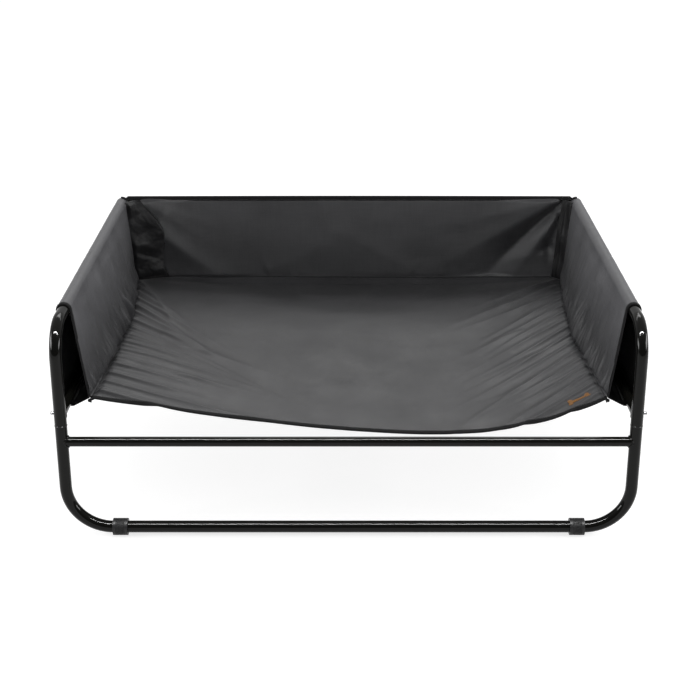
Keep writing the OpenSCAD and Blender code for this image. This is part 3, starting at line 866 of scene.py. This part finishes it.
# front edge of the base
count = 260
u = np.linspace(-1, 1, count)
edge_y = np.full(count, FRONT)
edge_x = u * (seam_x(edge_y) - 0.002)
front_edge = base_point(edge_x, edge_y)
inner_pts = base_point(edge_x, edge_y + 0.006)
inward = unit(inner_pts - front_edge)
across = unit(np.gradient(front_edge, axis=0))
face = unit(np.cross(across, inward))
tape = folded_tape("front_edge_tape", front_edge - inward * TAPE_PROUD, inward, face, 0.0085, gap=0.0030)
done(tape, "front_binding")
for side, tag in SIDES:
    # a short end of the tape turns down at each front corner
    count = 14
    q = np.linspace(0, 1, count)
    x = side * (SEAM_FRONT_X - 0.004 + 0.006 * smooth(q * 1.6))
    z = SEAM_FRONT_Z - 0.0006 - 0.0065 * q**1.3
    tip = np.stack([x, np.full(count, FRONT - 0.0026) - 0.0006 * q, z], 1)
    ins, out = np.tile([side * -0.9, 0.0, -0.3], (count, 1)), np.tile([0, -1.0, 0], (count, 1))
    tab = folded_tape(f"{tag}_tape_end", tip, unit(ins), out, 0.0060, gap=0.0020)
    done(tab)
tape_lines = [(front_edge + inward * 0.0045 + face * 0.00195, face)]

# front edges of the side walls, over the rail and down to the side bar
for side, tag in SIDES:
    ip, inn = inner_profile(FRONT, WRAP_R, 60, 26, end=0.0)
    op, onn = outer_profile(FRONT, WRAP_R, BAR_WRAP_R, 50, 14)
    path, outs = np.concatenate([ip, op[1:]]), np.concatenate([inn, onn[1:]])
    path = lean_back(path)
    path[:, 0] *= side
    outs = outs.copy()
    outs[:, 0] *= side
    inw = np.zeros_like(path)
    inw[:, 1] = 1.0
    obj = folded_tape(f"{tag}_wall_edge_tape", path - inw * TAPE_PROUD, inw, outs, 0.0085, gap=0.0026)
    done(obj, f"{tag}_wall_binding")
    # stitched up the inner wall and over the rail only
    sewn_line = path + inw * 0.0045 + outs * 0.0018
    tape_lines.append((sewn_line[:len(ip)], outs[:len(ip)]))

# top edge of the back wall; at its ends the tape turns over the rails and closes the side walls' rear edges
count, count_end = 300, 26
bx = np.linspace(-1, 1, count) * (POST_X - RAIL_R - 0.0030)
bz = np.full(count, BACK_TOP) + 0.0009 * np.cos(bx / 0.5 * math.pi / 2)
flat = np.stack([bx, np.full(count, BACK_Y), bz], 1)
turn = np.linspace(math.radians(128), math.radians(86), count_end)
over_r = WRAP_R + 0.0014
end_z = np.minimum(RAIL_Z + over_r * np.sin(turn), BACK_TOP)
end = np.stack([POST_X + over_r * np.cos(turn), np.full(count_end, BACK_Y + 0.0002), end_z], 1)
inw_end, fac_end = np.tile([0, -1.0, 0], (count_end, 1)), np.stack([np.cos(turn), 0 * turn, np.sin(turn)], 1)
inw_flat, fac_flat = np.tile([0, 0, -1.0], (count, 1)), np.tile([0, -1.0, 0], (count, 1))


def flipped(v):
    return v[::-1] * [-1.0, 1, 1]


path = np.concatenate([flipped(end), flat, end])
inw = np.concatenate([flipped(inw_end), inw_flat, inw_end])
fac = np.concatenate([flipped(fac_end), fac_flat, fac_end])
for _ in range(6):
    inw[1:-1] = (inw[:-2] + inw[1:-1] * 2 + inw[2:]) / 4
    fac[1:-1] = (fac[:-2] + fac[1:-1] * 2 + fac[2:]) / 4
inw, fac = unit(inw), unit(fac)
obj = folded_tape("back_edge_tape", path, inw, fac, 0.0088, gap=0.0034)
done(obj, "back_binding")
tape_lines.append((path + inw * 0.0066 + fac * 0.0024, fac))

done(stitch_object("tape_stitches", tape_lines, [M_TAPE_THREAD]))

# ---------------- seams of the sling
# How far the stitches stand above the middle of the cloth
STITCH_LIFT = CLOTH / 2 + 0.0001
seam_lines = []
for side, tag in SIDES:
    ys = np.linspace(FRONT + 0.002, REAR - 0.003, 300)
    path = np.stack([side * (seam_x(ys) - 0.0018), ys, seam_z(ys) + 0.0021], 1)
    path[:, 2] += 0.0003 * value_noise(ys * 120, ys * 0, 3 + side)
    path[:, 0] += 0.0004 * value_noise(ys * 90, ys * 0 + 4, 8 + side)
    thickness = 0.0020 + 0.0002 * value_noise(ys * 150, ys * 0, 9)
    # the welt's lighter cloth is a painted highlight
    done(swept(f"{tag}_seam_welt", path, thickness, [M_SEAM_HIGHLIGHT]))
    # row of stitches on the base beside the welt
    xs = side * (seam_x(ys) - 0.0062)
    seam_lines.append((base_point(xs, ys, STITCH_LIFT), np.tile([0, 0, 1.0], (len(ys), 1))))
# the rear seam shows between the two corner cloths; its welt shares their painted shade
xs = np.linspace(-SEAM_REAR_X + 0.078, SEAM_REAR_X - 0.027, 300)
ys = np.full(len(xs), REAR - 0.0015)
done(swept("rear_seam_welt", base_point(xs, ys, 0.0011), 0.0015, [M_CORNER_SHADE]))
seam_lines.append((base_point(xs, ys - 0.0065, STITCH_LIFT), np.tile([0, 0, 1.0], (len(xs), 1))))
done(stitch_object("base_stitches", seam_lines, [M_THREAD]))

# ---------------- weld beads
def bead(name, centre, bar_axis):
    """A rippled weld bead where a bar meets a post, round a centre on the post's axis."""
    a = np.linspace(0, 2 * math.pi, 96, endpoint=False)
    axis, up = np.asarray(bar_axis, float), np.array([0, 0, 1.0])
    r = BAR_R + 0.0009
    off = r * np.cos(a)
    depth = np.sqrt(np.maximum(RAIL_R**2 - off**2, 1e-8)) + 0.0007
    path = np.asarray(centre) + depth[:, None] * axis + off[:, None] * np.cross(axis, up)
    path = path + (r * np.sin(a))[:, None] * up
    rad = 0.0016 + 0.00022 * np.sin(a * 22) + 0.00015 * value_noise(a * 5, a * 0, 3)
    return swept(name, path, rad, [M_PAINT], closed=True, up=axis)


for sx, sy, corner in CORNERS:
    rail_weld = bead(f"{corner}_rail_weld", (sx * POST_X, sy * POST_Y, MID_Z), (-sx, 0, 0))
    done(rail_weld)
    bar_weld = bead(f"{corner}_bar_weld", (sx * POST_X, sy * POST_Y, BAR_Z), (0, -sy, 0))
    done(bar_weld)


# ---------------- lips of the hoops' legs
# Height of the dark line of painted shade where a hoop's leg sits on its floor loop, and of the painted
# glints just above it
LIP_Z, GLINT_Z = 0.2192, 0.2202
for sx, sy, corner in CORNERS:
    a = np.linspace(0, 2 * math.pi, 72, endpoint=False)
    ring = np.stack([sx * POST_X + RAIL_R * np.cos(a), sy * POST_Y + RAIL_R * np.sin(a), 0 * a + LIP_Z], 1)
    radius = 0.00055 * (1 + 0.35 * value_noise(a * 3.5, a * 0, 40))
    edge = swept(f"{corner}_joint_edge", ring, radius, [M_JOINT_SHADE], sides=8, closed=True)
    done(edge)
    # painted glints: two short spots of bright zinc on the lip
    for number, deg in ((1, 66), (2, 112)):
        a = np.radians(np.linspace(deg - 6, deg + 6, 14))
        x, y = sx * POST_X + RAIL_R * np.cos(a), sy * (POST_Y + RAIL_R * np.sin(a))
        radius = 0.0008 * np.sin(np.linspace(0.12, math.pi - 0.12, 14))
        arc = np.stack([x, y, 0 * a + GLINT_Z], 1)
        spot = swept(f"{corner}_painted_light_spot_{number}", arc, radius, [M_ZINC], sides=8)
        done(spot)


# ---------------- leaf springs behind the buttons
SPRING_FIX, SPRING_FREE, SPRING_T, SPRING_W = -0.007, 0.005, 0.0006, 0.006
button_low, button_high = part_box("front_left_button")
BUTTON_Z = (button_low[2] + button_high[2]) / 2


def spring_path():
    """The V in its middle plane, as (x, z) from the button's axis: down the fixed leg and up the free one."""
    lo, hi = SPRING_FIX + SPRING_T / 2, SPRING_FREE - SPRING_T / 2
    turn = np.radians(np.linspace(196, 344, 15))
    legs = [(lo, 0.0068), (lo, 0.0052), (lo, 0.0040)]
    legs += [(mix(lo, -0.0020, t), mix(0.0040, -0.0176, t)) for t in np.linspace(0.1, 1, 10)]
    legs += [(-0.0010 + 0.0010 * math.cos(t), -0.0178 + 0.0009 * math.sin(t)) for t in turn]
    legs += [(mix(0.0, hi, t), mix(-0.0176, -0.0050, t)) for t in np.linspace(0, 1, 10)]
    legs += [(hi, 0.0), (hi, 0.0040), (hi, 0.0068)]
    return np.array(legs)


SPRING = spring_path()
for sx, sy, corner in CORNERS:
    x, z = sx * (POST_X + SPRING[:, 0]), BUTTON_Z + SPRING[:, 1]
    y = sy * POST_Y + np.linspace(-0.5, 0.5, 9) * SPRING_W
    P = np.zeros((len(x), len(y), 3))
    P[..., 0], P[..., 1], P[..., 2] = x[:, None], y, z[:, None]
    leaf = sheet_object(f"{corner}_leaf_spring", P, [M_SPRING], thick=SPRING_T - 0.00004)
    done(leaf, f"{corner}_spring")
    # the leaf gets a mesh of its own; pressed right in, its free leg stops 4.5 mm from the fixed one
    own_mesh(leaf)


# ---------------- small embroidered bone
def bone_spans(place):
    """Where the satin stitches cross the bone, at a place from 0 in its middle to 1 at an end."""
    shaft, knob, apart = 0.58, 0.0042, 0.0036
    if place < shaft:
        return [(-0.0030, 0.0030)]
    q = (place - shaft) / (1 - shaft)
    lobe = knob * math.sqrt(max(0.0, 1 - (2 * q - 1) ** 2))
    if lobe < 0.0007:
        return []
    if q > 0.62 and lobe < apart:
        return [(-apart - lobe, -apart + lobe), (apart - lobe, apart + lobe)]
    return [(-apart - lobe, apart + lobe)]


def bone(name, cx, cy, turn, length):
    """Satin stitches laid side by side across a plain bone shape, on the base."""
    verts, faces = [], []
    half, m, sides = length / 2, 7, 5
    bow = np.sin(np.linspace(0, math.pi, m)) * 0.0009 + 0.0007
    for t in np.arange(-half, half + 1e-9, 0.00075):
        for lo, hi in bone_spans(abs(t) / half):
            w = np.linspace(lo, hi, m)
            x = cx + (t * math.cos(turn) - w * math.sin(turn))
            y = cy + (t * math.sin(turn) + w * math.cos(turn))
            p = base_point(x, y)
            p[:, 2] += bow
            d = unit(np.gradient(p, axis=0))
            b = unit(np.cross(d, [0, 0, 1.0]))
            up = np.cross(b, d)
            start = len(verts)
            for i in range(m):
                r = 0.00042 * (1.0 if 0 < i < m - 1 else 0.4)
                for a in range(sides):
                    ang = 2 * math.pi * a / sides
                    verts.append(p[i] + b[i] * r * math.cos(ang) + up[i] * r * math.sin(ang))
            faces += tube_faces(start, m, sides)
    return make_mesh(name, np.array(verts), faces, None, [M_AMBER])


done(bone("embroidered_bone", 0.428, -0.315, math.radians(15), 0.042))

# ---------------- floor, light and camera
# Half the side of the floor, far enough for views from low down
FAR = 300
floor = make_mesh("floor", [(-FAR, -FAR, 0), (FAR, -FAR, 0), (FAR, FAR, 0), (-FAR, FAR, 0)], [(0, 1, 2, 3)])
paper = Nodes("pale_floor")
cloud = paper.noise(paper.add("ShaderNodeTexCoord").outputs["Object"], 3.0, 4.0)
shade = paper.colour((0.48, 0.48, 0.48), (0.51, 0.51, 0.51), cloud)
floor.data.materials.append(paper.set(Base_Color=shade, Roughness=0.75, Specular_IOR_Level=0.2,
                                      Emission_Color=(1, 1, 1, 1), Emission_Strength=0.76))
floor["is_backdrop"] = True

world = bpy.data.worlds.new("studio")
bpy.context.scene.world = world
world.use_nodes = True
# a studio that is bright overhead and behind the bed, and dim in front of it
tree = world.node_tree
way = tree.nodes.new("ShaderNodeTexCoord")
parts = tree.nodes.new("ShaderNodeSeparateXYZ")
tree.links.new(way.outputs["Generated"], parts.inputs[0])
rise = tree.nodes.new("ShaderNodeMath")
rise.operation = "MULTIPLY_ADD"
rise.inputs[1].default_value = 0.45
tree.links.new(parts.outputs[2], rise.inputs[0])
tree.links.new(parts.outputs[1], rise.inputs[2])
level = tree.nodes.new("ShaderNodeMapRange")
level.interpolation_type = "SMOOTHSTEP"
for k, v in (("From Min", -0.75), ("From Max", 0.75), ("To Min", 0.10), ("To Max", 0.60)):
    level.inputs[k].default_value = v
tree.links.new(rise.outputs[0], level.inputs["Value"])
tree.nodes["Background"].inputs[0].default_value = (1, 1, 1, 1)
tree.links.new(level.outputs[0], tree.nodes["Background"].inputs[1])


def aim(obj, loc, target):
    obj.location = loc
    obj.rotation_euler = (Vector(target) - Vector(loc)).to_track_quat("-Z", "Y").to_euler()
    bpy.context.scene.collection.objects.link(obj)


def area(name, loc, target, power, size, size_y, only=None):
    """A softbox, which lights everything or only the objects of one collection."""
    light = bpy.data.lights.new(name, "AREA")
    light.energy, light.shape, light.size, light.size_y = power, "RECTANGLE", size, size_y
    obj = bpy.data.objects.new(name, light)
    obj.visible_camera = False
    obj.light_linking.receiver_collection = only
    aim(obj, loc, target)


# the narrow strip lights only the pieces in paint, moulded plastic or zinc, and the front fill all the others
SHINY = (M_PAINT, M_PLASTIC, M_ZINC)
painted = bpy.data.collections.new("painted")
sewn = bpy.data.collections.new("sewn")
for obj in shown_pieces():
    shiny = obj.data.materials and obj.data.materials[0] in SHINY
    (painted if shiny else sewn).objects.link(obj)
area("strip", (0.0, -1.15, 2.55), (0, -0.2, 0.2), 195, 3.2, 0.08, only=painted)
area("front_fill", (0.0, -2.5, 1.75), (0, 0.1, 0.3), 42, 2.6, 0.8, only=sewn)
area("rear_top", (0.0, 1.55, 2.45), (0, 0.1, 0.3), 15, 3.0, 0.5)
area("left_side", (-2.3, -0.55, 0.85), (0.3, 0.0, 0.35), 30, 1.3, 0.6)
area("right_side", (2.3, -0.55, 0.85), (-0.3, 0.0, 0.35), 30, 1.3, 0.6)
sun = bpy.data.lights.new("wide_sun", "SUN")
sun.energy, sun.angle = 0.43, math.radians(24)
aim(bpy.data.objects.new("wide_sun", sun), (0.15, 1.0, 0.95), (0, 0, 0))

cam_data = bpy.data.cameras.new("camera")
cam_data.sensor_width = 36
cam_data.lens = 73.32
cam = bpy.data.objects.new("camera", cam_data)
cam.location = (0.0023, -2.7489, 1.2779)
cam.rotation_euler = (math.radians(90 - 21.518), 0, 0)
bpy.context.scene.collection.objects.link(cam)
bpy.context.scene.camera = cam
bpy.context.scene.view_settings.view_transform = "Standard"
